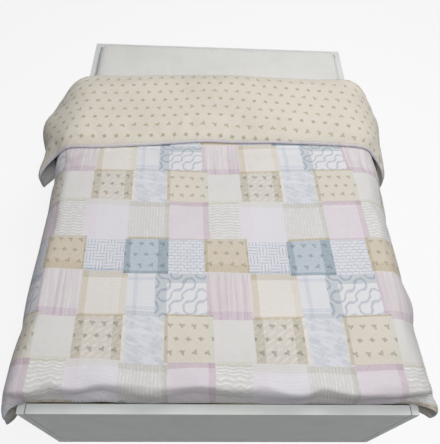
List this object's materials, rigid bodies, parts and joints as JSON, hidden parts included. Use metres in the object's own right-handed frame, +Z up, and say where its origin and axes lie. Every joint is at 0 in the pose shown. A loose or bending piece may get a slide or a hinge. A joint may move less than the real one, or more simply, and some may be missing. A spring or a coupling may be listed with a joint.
{
  "type": "duvet cover on a double bed",
  "caption": "Filled double duvet in a patchwork-print cover with a sprigged reverse, head end turned back, draped over a plain boxed bed with its mattress.",
  "frame": {"origin": "on the floor, under the middle of the whole object", "axes": "+X to the right seen from the foot of the bed, +Y towards its head, +Z up"},
  "size_m": [1.7054, 2.0328, 0.7693],
  "materials": {
    "cover_cloth": "printed cotton blend, matt",
    "sheet_cloth": "plain off-white cotton sheet",
    "white_paint": "board with satin white paint",
    "bare_wood": "planed softwood, unfinished"
  },
  "bodies": {
    "root": {"duvet": "cover_cloth", "mattress": "sheet_cloth", "footboard": "white_paint", "head_panel": "white_paint", "side_panel_left": "white_paint", "side_panel_right": "white_paint", "ledger_left": "bare_wood", "ledger_right": "bare_wood", "middle_beam": "bare_wood", "middle_leg": "bare_wood", "slat_1": "bare_wood", "slat_2": "bare_wood", "slat_3": "bare_wood", "slat_4": "bare_wood", "slat_5": "bare_wood", "slat_6": "bare_wood", "slat_7": "bare_wood", "slat_8": "bare_wood", "slat_9": "bare_wood", "slat_10": "bare_wood", "slat_11": "bare_wood", "slat_12": "bare_wood"}
  },
  "joints": []
}
